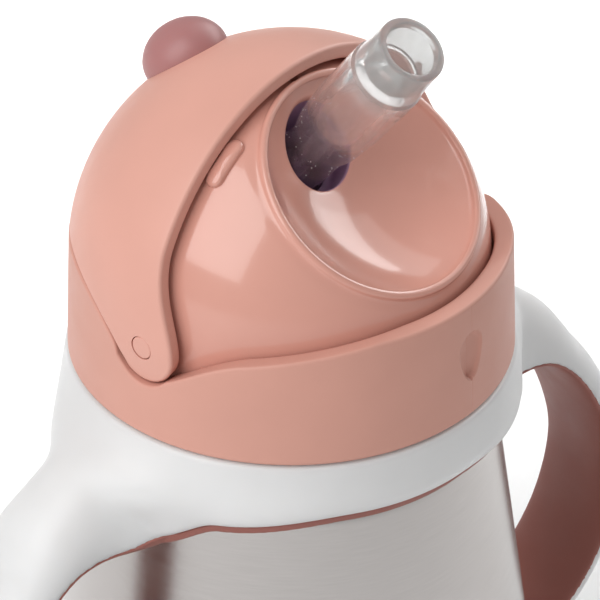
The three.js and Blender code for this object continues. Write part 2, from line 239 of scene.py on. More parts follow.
def swept(path, side, sections):
    """Sections of rows (sideways, outwards), one for each point of a path, lofted along it."""
    path = np.asarray(path)
    forward = np.gradient(path, axis=0)
    forward /= np.linalg.norm(forward, axis=1)[:, None]
    outward = np.cross(forward, side)
    outward /= np.linalg.norm(outward, axis=1)[:, None]
    loops = [
        p + np.outer(section[:, 0], side) + np.outer(section[:, 1], out)
        for p, out, section in zip(path, outward, sections)
    ]
    return loft(with_caps(loops))


def helix(radius, low, size):
    """A ridge of one turn round Z."""
    t = np.linspace(0, 2 * math.pi, 97)
    taper = np.sqrt(np.clip(np.minimum(t, t[::-1]) / 0.25, 0.02, 1))
    ring = np.linspace(0, 2 * math.pi, 12, endpoint=False)
    loops = []
    for angle, share in zip(t, taper):
        r = radius + size * share * np.cos(ring)
        z = low + 0.004 * angle / (2 * math.pi) + size * share * np.sin(ring)
        loops.append(np.column_stack((r * math.cos(angle), r * math.sin(angle), z)))
    return loft(with_caps(loops))


# ---- Objects ----
def bare_object(name, *skins):
    """A mesh object made of closed skins, with its faces outward."""
    points = []
    faces = []
    for skin_points, skin_faces in skins:
        offset = sum(len(p) for p in points)
        points.append(np.asarray(skin_points))
        faces += [tuple(offset + i for i in face) for face in skin_faces]
    mesh = bpy.data.meshes.new(name)
    mesh.from_pydata(np.concatenate(points).tolist(), [], faces)
    work = bmesh.new()
    work.from_mesh(mesh)
    bmesh.ops.remove_doubles(work, verts=work.verts, dist=1e-7)
    bmesh.ops.dissolve_degenerate(work, edges=work.edges, dist=1e-8)
    bmesh.ops.recalc_face_normals(work, faces=work.faces)
    work.to_mesh(mesh)
    work.free()
    obj = bpy.data.objects.new(name, mesh)
    bpy.context.scene.collection.objects.link(obj)
    return obj


def apply_modifiers(obj):
    bpy.context.view_layer.update()
    graph = bpy.context.evaluated_depsgraph_get()
    mesh = bpy.data.meshes.new_from_object(obj.evaluated_get(graph))
    obj.modifiers.clear()
    obj.data = mesh


def cut(obj, *skins):
    """Removes the closed skins from the object."""
    cutter = bare_object("cutter", *skins)
    modifier = obj.modifiers.new("cut", "BOOLEAN")
    modifier.object = cutter
    modifier.operation = "DIFFERENCE"
    modifier.solver = "EXACT"
    apply_modifiers(obj)
    bpy.data.objects.remove(cutter)


def finished(obj, material, body, slot, *nodes, sharp=50):
    """Gives a piece its shading and material, and ties it to the frame."""
    obj.data.materials.clear()
    obj.data.materials.append(material)
    obj.data.polygons.foreach_set("use_smooth", [True] * len(obj.data.polygons))
    obj.data.set_sharp_from_angle(angle=math.radians(sharp))
    normals = obj.modifiers.new("normals", "WEIGHTED_NORMAL")
    normals.keep_sharp = True
    if body:
        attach(obj, body)
    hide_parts(*nodes)
    return obj


# ---- Materials ----
def add_node(mat, kind, **settings):
    """A new node. A setting names an attribute of the node, or else one of its inputs."""
    node = mat.node_tree.nodes.new(kind)
    for name, value in settings.items():
        if hasattr(node, name):
            setattr(node, name, value)
        else:
            node.inputs[name.replace("_", " ").title()].default_value = value
    return node


def join(mat, source, target):
    mat.node_tree.links.new(source, target)


def surface(name, colour, roughness, **values):
    mat = bpy.data.materials.new(name)
    mat.use_nodes = True
    shader = mat.node_tree.nodes["Principled BSDF"]
    shader.inputs["Base Color"].default_value = (*colour, 1)
    shader.inputs["Roughness"].default_value = roughness
    for key, value in values.items():
        shader.inputs[key.replace("_", " ")].default_value = value
    return mat, shader


def noise(mat, vector, scale, detail=3.0):
    texture = add_node(mat, "ShaderNodeTexNoise", scale=scale, detail=detail)
    join(mat, vector, texture.inputs["Vector"])
    return texture.outputs["Fac"]


def spread(mat, value, low, high, start=0.3, stop=0.7):
    """The value taken from its range start..stop to the range low..high. Noise keeps near a half."""
    node = add_node(mat, "ShaderNodeMapRange")
    node.inputs["From Min"].default_value = start
    node.inputs["From Max"].default_value = stop
    node.inputs["To Min"].default_value = low
    node.inputs["To Max"].default_value = high
    join(mat, value, node.inputs["Value"])
    return node.outputs["Result"]


def ramp(mat, value, *stops):
    """A colour picked from stops of position and colour by the value."""
    node = add_node(mat, "ShaderNodeValToRGB")
    elements = node.color_ramp.elements
    while len(elements) < len(stops):
        elements.new(0.5)
    for element, (position, colour) in zip(elements, stops):
        element.position = position
        element.color = (*colour, 1)
    join(mat, value, node.inputs["Fac"])
    return node.outputs["Color"]


def bump(mat, shader, height, distance, before=None):
    node = add_node(mat, "ShaderNodeBump")
    node.inputs["Strength"].default_value = 1.0
    node.inputs["Distance"].default_value = distance
    join(mat, height, node.inputs["Height"])
    if before:
        join(mat, before, node.inputs["Normal"])
    join(mat, node.outputs["Normal"], shader.inputs["Normal"])
    return node.outputs["Normal"]


def moulded(name, colour, roughness, grain=2600.0, height=0.000012, wave=0.00002, **values):
    """Moulded plastic or rubber: spark-eroded grain, faint flow marks and uneven gloss."""
    mat, shader = surface(name, colour, roughness, **values)
    place = add_node(mat, "ShaderNodeTexCoord").outputs["Object"]
    flow = noise(mat, place, 45.0)
    fine = noise(mat, place, grain, 2.0)
    darker = [0.955 * c for c in colour]
    lighter = [min(1, 1.03 * c) for c in colour]
    join(mat, ramp(mat, flow, (0.3, darker), (0.7, lighter)), shader.inputs["Base Color"])
    uneven = noise(mat, place, 160.0)
    join(mat, spread(mat, uneven, 0.9 * roughness, 1.12 * roughness), shader.inputs["Roughness"])
    waves = bump(mat, shader, flow, wave)
    bump(mat, shader, fine, height, waves)
    return mat


def brushed(name, colour, roughness, distance):
    """Steel with fine scratches round Z."""
    mat, shader = surface(name, colour, roughness, Metallic=1.0, Anisotropic=0.35)
    place = add_node(mat, "ShaderNodeTexCoord").outputs["Object"]
    parts = add_node(mat, "ShaderNodeSeparateXYZ")
    join(mat, place, parts.inputs["Vector"])
    bearing = add_node(mat, "ShaderNodeMath", operation="ARCTAN2")
    join(mat, parts.outputs["Y"], bearing.inputs[0])
    join(mat, parts.outputs["X"], bearing.inputs[1])
    round_z = add_node(mat, "ShaderNodeMath", operation="MULTIPLY")
    join(mat, bearing.outputs["Value"], round_z.inputs[0])
    round_z.inputs[1].default_value = 0.0012
    rows = add_node(mat, "ShaderNodeCombineXYZ")
    join(mat, round_z.outputs["Value"], rows.inputs["X"])
    join(mat, parts.outputs["Z"], rows.inputs["Z"])
    scratches = noise(mat, rows.outputs["Vector"], 4600.0, 4.0)
    bands = noise(mat, rows.outputs["Vector"], 900.0, 2.0)
    darker = [0.92 * c for c in colour]
    join(mat, ramp(mat, scratches, (0.3, darker), (0.7, colour)), shader.inputs["Base Color"])
    join(mat, spread(mat, bands, 0.92 * roughness, 1.1 * roughness), shader.inputs["Roughness"])
    bump(mat, shader, scratches, distance)
    tangent = add_node(mat, "ShaderNodeTangent", direction_type="RADIAL", axis="Z")
    join(mat, tangent.outputs["Tangent"], shader.inputs["Tangent"])
    return mat


def silicone(name, colour, roughness, clear, ripple):
    """Milky silicone with slow ripples."""
    mat, shader = surface(
        name, colour, roughness, Transmission_Weight=clear, IOR=1.3, Specular_IOR_Level=0.5
    )
    place = add_node(mat, "ShaderNodeTexCoord").outputs["Object"]
    ripples = noise(mat, place, 120.0, 1.0)
    smears = noise(mat, place, 420.0)
    join(mat, spread(mat, smears, 0.6 * roughness, 1.6 * roughness), shader.inputs["Roughness"])
    bump(mat, shader, ripples, ripple)
    return mat


def clear_spout():
    """Clear silicone, whiter and hazier towards the mouth. Its root is painted dark purple as painted
    shade of the deep well seen through it, and its body a light pink that stands in for the lit pink dish
    behind it. The mesh's along value is 0 at the root and 1 at the mouth."""
    mat, shader = surface(
        "clear_silicone", (1, 1, 1), 0.03, Transmission_Weight=1.0, IOR=1.21, Coat_Weight=0.5
    )
    along = add_node(mat, "ShaderNodeAttribute", attribute_name="along").outputs["Fac"]
    place = add_node(mat, "ShaderNodeTexCoord").outputs["Object"]
    bump(mat, shader, noise(mat, place, 150.0, 1.5), 0.0004)
    # Painted shade: the root is dark purple for the shaded well seen through it.
    glassy_tint_and_painted_shade = ramp(mat, along, (0.10, (0.40, 0.28, 0.40)), (0.22, (0.98, 0.96, 0.96)),
                  (0.74, (0.98, 0.96, 0.96)), (0.82, (0.62, 0.625, 0.62)))
    join(mat, glassy_tint_and_painted_shade, shader.inputs["Base Color"])
    join(mat, spread(mat, along, 0.36, 1.0, 0.4, 0.75), shader.inputs["Alpha"])
    # Painted shade and light: dark purple at the root for the shaded well, light pink in the body for the
    # lit pink dish seen through it.
    haze_tint_and_painted_light = ramp(mat, along, (0.14, (0.34, 0.21, 0.31)), (0.27, (0.82, 0.62, 0.60)),
                 (0.74, (0.80, 0.80, 0.79)))
    milk = add_node(mat, "ShaderNodeBsdfTranslucent")
    chalk = add_node(mat, "ShaderNodeBsdfDiffuse")
    haze = add_node(mat, "ShaderNodeMixShader")
    haze.inputs["Fac"].default_value = 0.5
    join(mat, haze_tint_and_painted_light, milk.inputs["Color"])
    join(mat, haze_tint_and_painted_light, chalk.inputs["Color"])
    join(mat, milk.outputs["BSDF"], haze.inputs[1])
    join(mat, chalk.outputs["BSDF"], haze.inputs[2])
    share = ramp(mat, along, (0.12, (0.5, 0.5, 0.5)), (0.24, (0.08, 0.08, 0.08)),
                 (0.70, (0.05, 0.05, 0.05)), (0.82, (0.30, 0.30, 0.30)))
    whole = add_node(mat, "ShaderNodeMixShader")
    join(mat, share, whole.inputs["Fac"])
    join(mat, shader.outputs["BSDF"], whole.inputs[1])
    join(mat, haze.outputs["Shader"], whole.inputs[2])
    output = mat.node_tree.nodes["Material Output"]
    join(mat, whole.outputs["Shader"], output.inputs["Surface"])
    return mat


PINK = (0.735, 0.375, 0.30)
PINK_GLOSS = (0.70, 0.345, 0.275)
PINK_RING = (0.68, 0.345, 0.275)

steel_mat = brushed("steel_brushed", (0.575, 0.545, 0.53), 0.24, 0.00001)
inside_mat = brushed("steel_inside", (0.66, 0.65, 0.63), 0.30, 0.000005)
seal_metal_mat = moulded("seal_metal", (0.5, 0.49, 0.48), 0.5, Metallic=1.0)
getter_mat = moulded("getter_metal", (0.3, 0.29, 0.28), 0.75, height=0.00004, Metallic=1.0)
pad_mat = moulded("pad_silicone", (0.66, 0.33, 0.27), 0.7)
white_mat = moulded(
    "white_plastic", (0.775, 0.772, 0.77), 0.42, height=0.000004, Subsurface_Weight=0.4,
    Subsurface_Scale=0.008, Subsurface_Radius=(1.0, 0.95, 0.9),
)
# The grip's deeper pink is darkened further as painted shade, for the shade on the insides of the
# handles.
grip_painted_shade_mat = moulded("pink_grip", (0.33, 0.115, 0.09), 0.55, grain=1800.0)
ring_mat = moulded("pink_ring", PINK_RING, 0.5, Specular_IOR_Level=0.35)
hood_mat = moulded("pink_hood", PINK, 0.45)
pin_mat = moulded("pink_pin", PINK, 0.42)
gloss_mat = moulded("pink_gloss", PINK_GLOSS, 0.16, height=0.000001, wave=0.000012, Coat_Weight=0.3)
knob_mat = moulded(
    "mauve_knob", (0.42, 0.185, 0.18), 0.42, height=0.000003, Subsurface_Weight=0.2,
    Subsurface_Scale=0.004, Subsurface_Radius=(1.0, 0.4, 0.35),
)
# Dark purple painted shade for the deep well round the spout's root, which lies in shade.
well_painted_shade_mat = moulded("well_painted_shade", (0.33, 0.19, 0.31), 0.3)
inner_mat = moulded("inner_plastic", (0.62, 0.29, 0.23), 0.5)
clear_mat = clear_spout()
# Near-white painted glints on the specks in the spout's root.
speck_glint_mat = moulded("bubble_glint", (0.9, 0.88, 0.88), 0.2)
milky_mat = silicone("milky_silicone", (0.88, 0.86, 0.84), 0.25, 0.6, 0.000006)
seal_mat = moulded("seal_silicone", (0.84, 0.82, 0.80), 0.45)


# ---- Cup ----
def steel_cup():
    outline = np.vstack((
        spline(mm([
            [39, 1], [42.6, 2.8], [44.6, 8], [44.9, 14], [44, 24], [42.3, 36], [39.3, 57],
            [36.6, 75.5], [35.35, 84],
        ])),
        spline(mm([[34.6, 86], [32.8, 87.6], [30.9, 88.2], [30.4, 89]]), 4),
        [[0.0304, NECK_TOP]],
    ))
    inside = outline[::-1] - [STEEL, 0]
    bottom = [[BASE_R + GAP, 0.001 + STEEL], [BASE_R + GAP, 0.001]]
    shell = turned(np.vstack((outline, inside[:-1], mm([[39, 1.8]]), bottom)))
    thread = helix(0.03075, 0.0995, 0.0007)
    finished(bare_object("shell", shell, thread), steel_mat, "cup", "steel", "outer_shell", sharp=40)

    wall = spline(mm([
        [36, 9], [39.2, 10.5], [40.5, 14], [39.6, 24], [37.9, 36], [34.9, 57], [32, 76], [29.3, 86],
    ]))
    hollow = spline(mm([
        [28.5, 86], [31.2, 76], [34.1, 57], [37.1, 36], [38.8, 24], [39.7, 14.2], [38.8, 11.3],
        [35.8, 9.8],
    ]))
    lip = [[0.0292, MOUTH - STEEL], [0.0304, MOUTH - STEEL], [0.0304, MOUTH], [0.0284, MOUTH]]
    liner = turned(np.vstack(([[0, 0.009]], wall, lip, hollow, [[0, 0.0098]])))
    finished(bare_object("liner", liner), inside_mat, "cup", "steel_inside", "inner_liner", sharp=40)

    base = tube_ring(BASE_R, 0.0022, BASE_LOW, BASE_TOP, 0.0002)
    finished(bare_object("base", base), inside_mat, "cup", "steel_base", "base_disc")
    pad = disc(PAD_R, 0, PAD_TOP, 0.0004)
    finished(bare_object("pad", pad), pad_mat, "cup", "pad_silicone", "foot_pad")


# ---- Handle collar ----
def edge_drop(aside):
    return GENTLE_DROP * smoothstep(aside, 0.010, 0.034) + STEEP_DROP * smoothstep(aside, 0.028, 0.0358)


# Height, then reach of each handle's shoulder in its centre plane.
SHOULDER = mm([[80, 54.5], [85, 51.5], [89.6, 45.9], [93.6, 41.2], [97, 38.4]])


def dipped(profile, steps=360):
    """A profile turned about Z that follows the collar's dipping lower edge. Its outer side swells
    out over the roots of the handles."""
    bearing = np.linspace(0, 2 * math.pi, steps, endpoint=False)
    drop = edge_drop(EDGE_R * np.abs(np.sin(bearing - EDGE_TURN)))
    loops = []
    for r, z in profile:
        height = z - drop * (1 - smoothstep(z, EDGE, COLLAR_TOP - 0.002))
        radius = r + 0.15 * (z - height)
        reach = np.interp(height, SHOULDER[:, 0], SHOULDER[:, 1])
        aside = np.abs(radius * np.cos(bearing))
        upper = smoothstep(height, 0.079, 0.092)
        swell = upper * (1 - smoothstep(aside, 0.002, 0.013 + 0.012 * upper))
        if r > 0.0375:
            radius = radius + np.maximum(reach - radius, 0) * swell
        loops.append(np.column_stack((radius * np.sin(bearing), -radius * np.cos(bearing), height)))
    return loft(loops, joined=True)


def resampled(profile, spacing):
    """A closed profile with extra points, so that none are further apart than the spacing."""
    rows = []
    for a, b in zip(profile, np.roll(profile, -1, 0)):
        count = max(1, int(np.ceil(np.linalg.norm(b - a) / spacing)))
        rows += [a + (b - a) * i / count for i in range(count)]
    return np.array(rows)


HANDLE_TOP = EDGE - GENTLE_DROP - STEEP_DROP - GAP
INSIDE_COLLAR = turned(np.vstack((
    mm([[0, 60], [39.2, 60], [37, 75.6], [35.75, 84.3], [35, 86.4], [33.2, 88], [31.75, 88.7]]),
    mm([[31.7, 99], [0, 99]]),
)))


def handle_path(side):
    """The finger side's line between white and pink, from inside the collar to the free end."""
    points = mm([
        [34, 0], [46, 0], [53, -2.6], [60, -10.8], [66, -23.6], [68.2, -35.1], [65.3, -48.1],
        [58.6, -58.3], [50.8, -62.7],
    ])
    points[:, 1] += HANDLE_TOP
    curve = spline(points, 12)
    return np.column_stack((side * curve[:, 0], np.zeros(len(curve)), curve[:, 1]))


# Reach from the cup's axis, then half the width and the crown's height of each handle's root.
ROOT_HALF = mm([[34, 14.5], [36, 13.6], [38, 12.5], [40, 11.6], [43, 10.5], [46.3, 10]])
ROOT_CROWN = mm([[34, 20.5], [38.4, 20.5], [42, 17], [46, 13], [49.5, 10], [53, 7.3], [56, 6]])


def strap_size(path):
    """Half the strap's width and the height of its crown at each point of its path."""
    steps = np.linalg.norm(np.diff(path, axis=0), axis=1)
    gone = np.concatenate(([0], np.cumsum(steps)))
    share = np.clip(1 - (gone[-1] - gone) / STRAP_TIP, 0, 0.985)
    tip = np.sqrt(1 - share**2)
    reach = np.where(path[:, 2] > 0.055, np.abs(path[:, 0]), 0.06)
    half = np.interp(reach, ROOT_HALF[:, 0], ROOT_HALF[:, 1])
    crown = np.interp(reach, ROOT_CROWN[:, 0], ROOT_CROWN[:, 1])
    return half * tip, crown * (0.35 + 0.65 * tip)


def root_lift(aside):
    """How far the lower edge of a handle's root is above its finger side, that far to one side."""
    drop = edge_drop(np.sqrt(EDGE_R**2 - aside**2))
    bevel = 0.0018 * smoothstep(np.abs(aside), 0.0102, 0.0138)
    return np.maximum(GENTLE_DROP + STEEP_DROP - drop - 0.0002, 0) + bevel


def half_oval(half, depth, sign, base=0.0):
    """A D-shaped section, flat on the side that faces the other half of the strap."""
    angle = np.linspace(0, math.pi, 33)
    aside = half * np.sign(np.cos(angle)) * np.abs(np.cos(angle))**0.92
    height = base + sign * depth * np.sin(angle)**0.92
    lift = root_lift(aside)
    if sign > 0:
        return np.column_stack((aside, np.maximum(height, base + lift)))
    return np.column_stack((aside, height + lift))[::-1]


def root_softness(points):
    """How far the collar is smoothed at each point: fully on its outside, away from its edges."""
    across = placed(points, Matrix.Rotation(-HANDLE_TURN, 4, "Z"))
    aside = np.abs(across[:, 0])
    radius = np.hypot(across[:, 0], across[:, 1])
    edge = EDGE - edge_drop(EDGE_R * aside / np.maximum(radius, 0.001))
    above_edge = smoothstep(points[:, 2] - edge, 0.0022, 0.006)
    below_top = smoothstep(COLLAR_TOP - points[:, 2], 0.0008, 0.004)
    outside = smoothstep(radius, 0.0375, 0.0385)
    return above_edge * below_top * outside * (1 - smoothstep(aside, 0.052, 0.062))


def melted(name, skins, voxel, rounds, softness=None):
    """One closed mesh from overlapping skins, with its edges and joins softened."""
    obj = bare_object(name, *skins)
    remesh = obj.modifiers.new("whole", "REMESH")
    remesh.mode = "VOXEL"
    remesh.voxel_size = voxel
    soften = obj.modifiers.new("soften", "SMOOTH")
    soften.factor = 0.5
    soften.iterations = rounds
    apply_modifiers(obj)
    if softness:
        weights = softness(np.array([v.co for v in obj.data.vertices]))
        group = obj.vertex_groups.new(name="soft")
        for index, weight in enumerate(weights):
            if weight > 0.01:
                group.add([index], float(weight), "REPLACE")
        flow = obj.modifiers.new("flow", "SMOOTH")
        flow.vertex_group = "soft"
        flow.factor = 0.5
        flow.iterations = 150
        apply_modifiers(obj)
        obj.vertex_groups.clear()
    cut(obj, INSIDE_COLLAR)
    return obj


def handles():
    turn = Matrix.Rotation(HANDLE_TURN, 4, "Z")
    across = np.array([0.0, 1.0, 0.0])
    frame_profile = rounded(np.column_stack((
        mm([[30, 86.3], [36.2, 86.3], [38.3, 87.4], [39.3, 89.6], [39.3, 91.5], [38.8, 94.5],
            [38.3, 97.7], [30, 97.7]]),
        mm([0, 0.4, 2, 2, 2, 3, 0.7, 0]),
    )))
    lip_profile = rounded(np.column_stack((
        mm([[34, 84.7], [36.4, 84.7], [36.9, 86.5], [34, 86.5]]), mm([0, 0.4, 0.2, 0]),
    )), 3)
    white = [dipped(resampled(frame_profile, 0.0007))]
    pink = [dipped(lip_profile)]
    for side in (1, -1):
        path = handle_path(side)
        sizes = list(zip(*strap_size(path)))
        crowns = [half_oval(half, crown, 1) for half, crown in sizes]
        bands = [half_oval(half + 0.0001, STRAP_LINER + OVERLAP, -1, OVERLAP) for half, _ in sizes]
        white.append(swept(path, side * across, crowns))
        pink.append(swept(path, side * across, bands))
    shell = melted("collar", [(placed(p, turn), f) for p, f in white], 0.0004, 16,
                   root_softness)
    finished(shell, white_mat, "handles", "white_plastic", "handle_frame", sharp=55)
    liner = melted("grips", [(placed(p, turn), f) for p, f in pink], 0.0003, 8)
    finished(liner, grip_painted_shade_mat, "handles", "pink_grip", "grip_liner", sharp=55)


# ---- Lid ----
def hood_edge(grow):
    """Side view (y, z) about the pivot of the hood's edge, in three parts: the rear lip, the lobe
    round the pin and the front edge."""
    lobe = LOBE_R + grow
    rear = HOOD_REAR - grow
    ahead = HOOD_FRONT - grow
    start = math.radians(-54)
    lip = np.array([[0.045, rear]])
    sweep = bezier([0.025, rear], [0.013, rear], [0.0065, -0.001 - grow],
                   [lobe * math.cos(start), lobe * math.sin(start) - LOBE_DROP])
    angle = np.linspace(start, -math.pi, 25)
    arc = np.column_stack((lobe * np.cos(angle), lobe * np.sin(angle) - LOBE_DROP))
    front = bezier([-lobe, -LOBE_DROP], [-lobe, 0.005], [-0.0024 - grow, 0.0095],
                   [ahead, 0.0165])
    return np.vstack((lip, sweep)), arc, np.vstack((front, [[ahead, 0.045]]))


def seat_height(y):
    """Height above the pivot of the ring's top at y, under the hood at rest and swung forward."""
    rear, arc, front = hood_edge(EDGE_GAP)
    turn = np.array([[math.cos(HOOD_SWING), math.sin(HOOD_SWING)],
                     [-math.sin(HOOD_SWING), math.cos(HOOD_SWING)]])
    heights = [np.full_like(y, RIM)]
    for line in (np.vstack((rear, arc)), np.vstack((arc, front)) @ turn):
        lowest = line[np.argsort(line[:, 0])]
        heights.append(np.interp(y, lowest[:, 0], lowest[:, 1], left=RIM, right=RIM))
    return np.min(heights, axis=0)


def dimple(across, height):
    """Depth of the drop-shaped dimple in the ring's front and of the mould line through it."""
    down = np.clip((DIMPLE_MIDDLE - height) / DIMPLE_TAIL, 0, 1)
    up = np.clip((height - DIMPLE_MIDDLE) / DIMPLE_HALF, 0, 1)
    tail = DIMPLE_HALF * np.sqrt(np.clip(1 - down**1.3, 0, 1))
    half = np.where(height > DIMPLE_MIDDLE, DIMPLE_HALF * np.sqrt(1 - up**2), tail)
    inside = np.clip(1 - (np.abs(across) / np.maximum(half, 1e-6))**2, 0, 1)
    beyond = (height < DIMPLE_MIDDLE - DIMPLE_TAIL) | (height > DIMPLE_MIDDLE + DIMPLE_HALF)
    share = np.where(beyond, 0, inside)
    line = 0.00007 * np.exp(-(across / 0.00009)**2)
    return 0.0011 * np.sqrt(share) * np.where(half > 0.0002, 1, 0) + line


def lid_ring():
    even = np.linspace(0, 2 * math.pi, 480, endpoint=False)
    close = np.radians(np.arange(-6, 10, 0.125))
    bearing = np.unique(np.round(np.concatenate((even, close)) % (2 * math.pi), 6))
    sine, cosine = np.sin(bearing), np.cos(bearing)
    low = SEAT_Z - PIVOT.z

    def row(r, z):
        height = np.full_like(bearing, PIVOT.z) + z
        return np.column_stack((r * sine, -r * cosine, height))

    def outer_radius(z):
        return RING_R - 0.00095 * (z - low) / (RIM - low)

    inner = 0.0338
    soft = 0.0005
    top_z = seat_height(-outer_radius(0) * cosine)
    loops = [row(np.full_like(bearing, inner), low), row(np.full_like(bearing, RING_R - 0.0004), low)]
    for share in np.linspace(0, 1, 60):
        z = low + 0.0004 + share * (top_z - soft - low - 0.0004)
        signed = (bearing - DIMPLE_TURN + math.pi) % (2 * math.pi) - math.pi
        depth = np.where(np.abs(signed) < 0.12, dimple(signed * RING_R, z + DIMPLE_DROP), 0)
        loops.append(row(outer_radius(z) - depth, z))
    for angle in np.radians([20, 40, 60, 75, 90]):
        r = outer_radius(top_z) - soft * (1 - math.cos(angle))
        loops.append(row(r, seat_height(-r * cosine) - soft * (1 - math.sin(angle))))
    for r in (0.0358, 0.0350, 0.0345, inner + 0.0003):
        loops.append(row(np.full_like(bearing, r), seat_height(-r * cosine)))
    loops.append(row(np.full_like(bearing, inner), seat_height(-inner * cosine) - 0.0003))
    ring = bare_object("ring", loft(loops, joined=True))
    finished(ring, ring_mat, "lid", "pink_matte", "lid_ring", sharp=60)


def on_sphere(start, end, share, radius, centre):
    """Points part of the way from one ring of points to another, over a sphere."""
    a = (start - centre) / np.linalg.norm(start - centre, axis=1)[:, None]
    b = (end - centre) / np.linalg.norm(end - centre, axis=1)[:, None]
    angle = np.arccos(np.clip((a * b).sum(1), -1, 1))[:, None]
    mixed = (np.sin((1 - share) * angle) * a + np.sin(share * angle) * b) / np.sin(angle)
    return centre + radius * mixed


def circle(radius, height, place, steps=STEPS):
    """A circle in a leaning frame, counted from its side towards -Y."""
    angle = np.linspace(0, 2 * math.pi, steps, endpoint=False)
    rows = np.column_stack((radius * np.sin(angle), -radius * np.cos(angle), np.full(steps, height)))
    return placed(rows, place)


def well_edge(radius, centre, sphere_r):
    """Where a cylinder on the spout's axis meets the dish's bowl."""
    ring = circle(radius, 0, SPOUT_FRAME)
    axis = np.array(SPOUT_FRAME.to_3x3() @ Vector((0, 0, 1)))
    offset = ring - centre
    along = offset @ axis
    inside = np.sqrt(along**2 - (offset**2).sum(1) + sphere_r**2)
    return ring + np.outer(-along - inside, axis)


def rib(angle):
    """A round-ended bar on the dome beside the hood's edge."""
    outline = []
    for centre, start in ((0.0029, -90), (-0.0029, 90)):
        for a in np.radians(np.arange(start, start + 181, 15)):
            outline.append([centre + RIB_R * math.cos(a), RIB_R * math.sin(a)])
    outline = np.array(outline)
    place = (Matrix.Translation(PIVOT) @ Matrix.Rotation(angle, 4, "Y")
             @ Matrix.Translation((0, -0.0024, 0)))
    loops = []
    for inset, height in ((0, -0.001), (0, 0.0003), (0.0001, 0.0006), (0.0004, 0.00085),
                          (0.0009, 0.00095)):
        flat = outline * (1 - inset / RIB_R)
        rise = np.sqrt((DOME_R + height)**2 - (flat**2).sum(1))
        loops.append(placed(np.column_stack((flat, rise)), place))
    return loft(with_caps(loops))


def inside_well(point):
    """Whether a point is on the wall or floor of the well that the spout stands in. Faces there get the
    well's painted shade.
    """
    local = SPOUT_FRAME.inverted() @ Vector(point)
    return math.hypot(local.x, local.y) < WELL_R + 0.0002 and -WELL_DEPTH - 0.003 < local.z < -0.0005


def well_and_dish():
    """Loops from the well's bore, up its wall, over the dish's bowl and lip, down to the dome."""
    axis = np.array(SPOUT_FRAME.to_3x3() @ Vector((0, 0, 1)))
    edge = well_edge(WELL_R, BOWL, BOWL_R)
    wide = well_edge(WELL_R + 0.0005, BOWL, BOWL_R)
    loops = [
        circle(WELL_BORE, -WELL_DEPTH - DISH_WALL, SPOUT_FRAME),
        circle(WELL_BORE, -WELL_DEPTH, SPOUT_FRAME),
        circle(WELL_R - 0.0008, -WELL_DEPTH, SPOUT_FRAME),
        circle(WELL_R - 0.0001, -WELL_DEPTH + 0.0009, SPOUT_FRAME),
        edge - 0.0010 * axis,
        edge - 0.0004 * axis,
        0.55 * edge + 0.45 * wide - 0.00008 * axis,
        wide,
    ]
    rim = circle(DISH_R, DISH_RIM, DISH_FRAME)
    for share in np.linspace(0.04, 1, 25):
        loops.append(on_sphere(wide, rim, share, BOWL_R, BOWL))
    for a in np.radians(np.arange(150, -11, -15)):
        loops.append(circle(DISH_R + 0.00055 + LIP_R * math.cos(a),
                            DISH_RIM + 0.0002 + LIP_R * math.sin(a), DISH_FRAME))
    fillet = bezier([0.0207, 0.0265], [0.02072, 0.0260], [0.0215, 0.02569], [FOOT_R, FOOT_Z], 8)
    return loops + [circle(r, z, DISH_FRAME) for r, z in fillet[:-1]]


def dome_outside():
    """Loops from the foot of the dish's lip down the dome and its skirt, then up inside the skirt."""
    foot = circle(FOOT_R, FOOT_Z, DISH_FRAME)
    at_pivot = Matrix.Translation(PIVOT)
    equator = circle(DOME_R, 0, at_pivot)
    shares = np.concatenate(([0.0, 0.006], np.linspace(0.02, 1, 50)))
    loops = [on_sphere(foot, equator, share, DOME_R, np.array(PIVOT)) for share in shares]
    low = SEAT_Z - PIVOT.z + GAP
    for r, z in ((DOME_R, -0.006), (DOME_R, low + 0.0003), (DOME_R - 0.0003, low), (SKIRT_IN_R, low),
                 (SKIRT_IN_R, -0.0017), (SKIRT_IN_R, 0)):
        loops.append(circle(r, z, at_pivot))
    return loops


def dome_inside():
    """Loops from the top of the skirt over the dome's hollow, round the dish and down the well."""
    hollow_r = DOME_R - DOME_WALL
    start = circle(0.0245, math.sqrt(hollow_r**2 - 0.0245**2), DISH_FRAME)
    ceiling = circle(hollow_r, 0, Matrix.Translation(PIVOT))
    back = circle(DISH_R, DISH_RIM - DOME_WALL, DISH_FRAME)
    under_r = BOWL_R + 0.0018
    wall = well_edge(WELL_R + DISH_WALL, BOWL, under_r)
    loops = [
        on_sphere(start, ceiling, share, hollow_r, np.array(PIVOT))
        for share in np.linspace(0.98, 0, 20)
    ]
    for share in np.linspace(1, 0, 10):
        loops.append(on_sphere(wall, back, share, under_r, BOWL))
    return loops + [circle(WELL_R + DISH_WALL, -WELL_DEPTH - DISH_WALL, SPOUT_FRAME)]


def vent_notch():
    """The slot in the dome's crown that lets air under the hood."""
    return loft(with_caps([
        np.array(PIVOT) + mm([[-1, -1.6, z], [1, -1.6, z], [1, 1.5, z], [-1, 1.5, z]])
        for z in (32.2, 40)
    ]))


def lid_dome():
    dome = bare_object("dome", loft(well_and_dish() + dome_outside() + dome_inside(), joined=True))
    cut(dome, disc(PIN_R, -0.045, 0.045, 0, ALONG_X))
    cut(dome, vent_notch())
    # The well's wall and floor get a dark purple painted shade, standing in for the shade deep in the
    # well.
    painted_shade_faces = [p.index for p in dome.data.polygons if inside_well(p.center)]
    finished(dome, gloss_mat, "lid", "pink_gloss", "lid_dome", sharp=60)
    dome.data.materials.append(well_painted_shade_mat)
    for index in painted_shade_faces:
        dome.data.polygons[index].material_index = 1
    ribs = bare_object("dome_ribs", rib(math.radians(35)), rib(math.radians(-35)))
    finished(ribs, gloss_mat, "lid", "pink_gloss", sharp=60)
    screw = bare_object("lid_thread", helix(0.0328, PIVOT.z - 0.012, 0.0006))
    finished(screw, gloss_mat, "lid", "pink_gloss")


